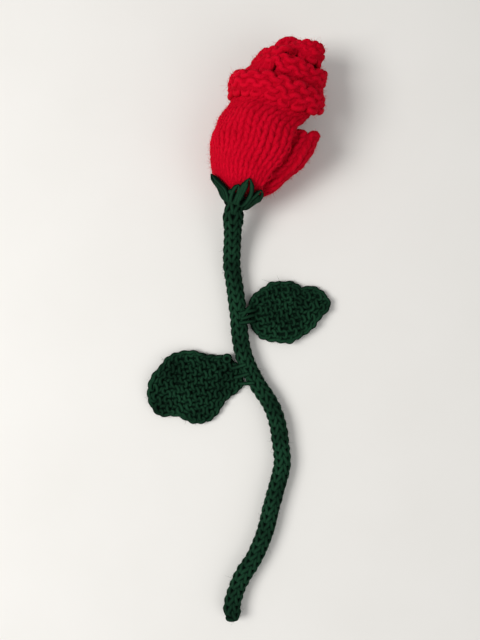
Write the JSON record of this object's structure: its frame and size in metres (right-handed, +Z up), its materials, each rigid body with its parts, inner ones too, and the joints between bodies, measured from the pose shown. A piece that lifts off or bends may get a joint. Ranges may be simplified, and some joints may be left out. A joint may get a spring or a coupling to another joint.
{
  "type": "knitted rose",
  "caption": "Long-stemmed knitted rose lying flat: a bud of wrapped petals with turned-down rims, looped sepals, a curved knitted cord stem and scalloped leaves.",
  "frame": {"origin": "on the table, under the middle of the lying rose's box", "axes": "+Y along the stem to the bud, +X to the right seen from above, +Z up from the table"},
  "size_m": [0.0922, 0.281, 0.0406],
  "materials": {
    "red_yarn": "knitted acrylic yarn, matt with a soft fuzz",
    "green_yarn": "knitted acrylic yarn, dark green, matt with a soft fuzz"
  },
  "bodies": {
    "root": {"petal_front": "red_yarn", "petal_back": "red_yarn", "petal_inner": "red_yarn", "petal_centre": "red_yarn", "sepal_left": "green_yarn", "sepal_front": "green_yarn", "sepal_right": "green_yarn", "sepal_back_right": "green_yarn", "sepal_back_left": "green_yarn", "stem": "green_yarn", "leaf_left": "green_yarn", "leaf_right": "green_yarn"}
  },
  "joints": []
}
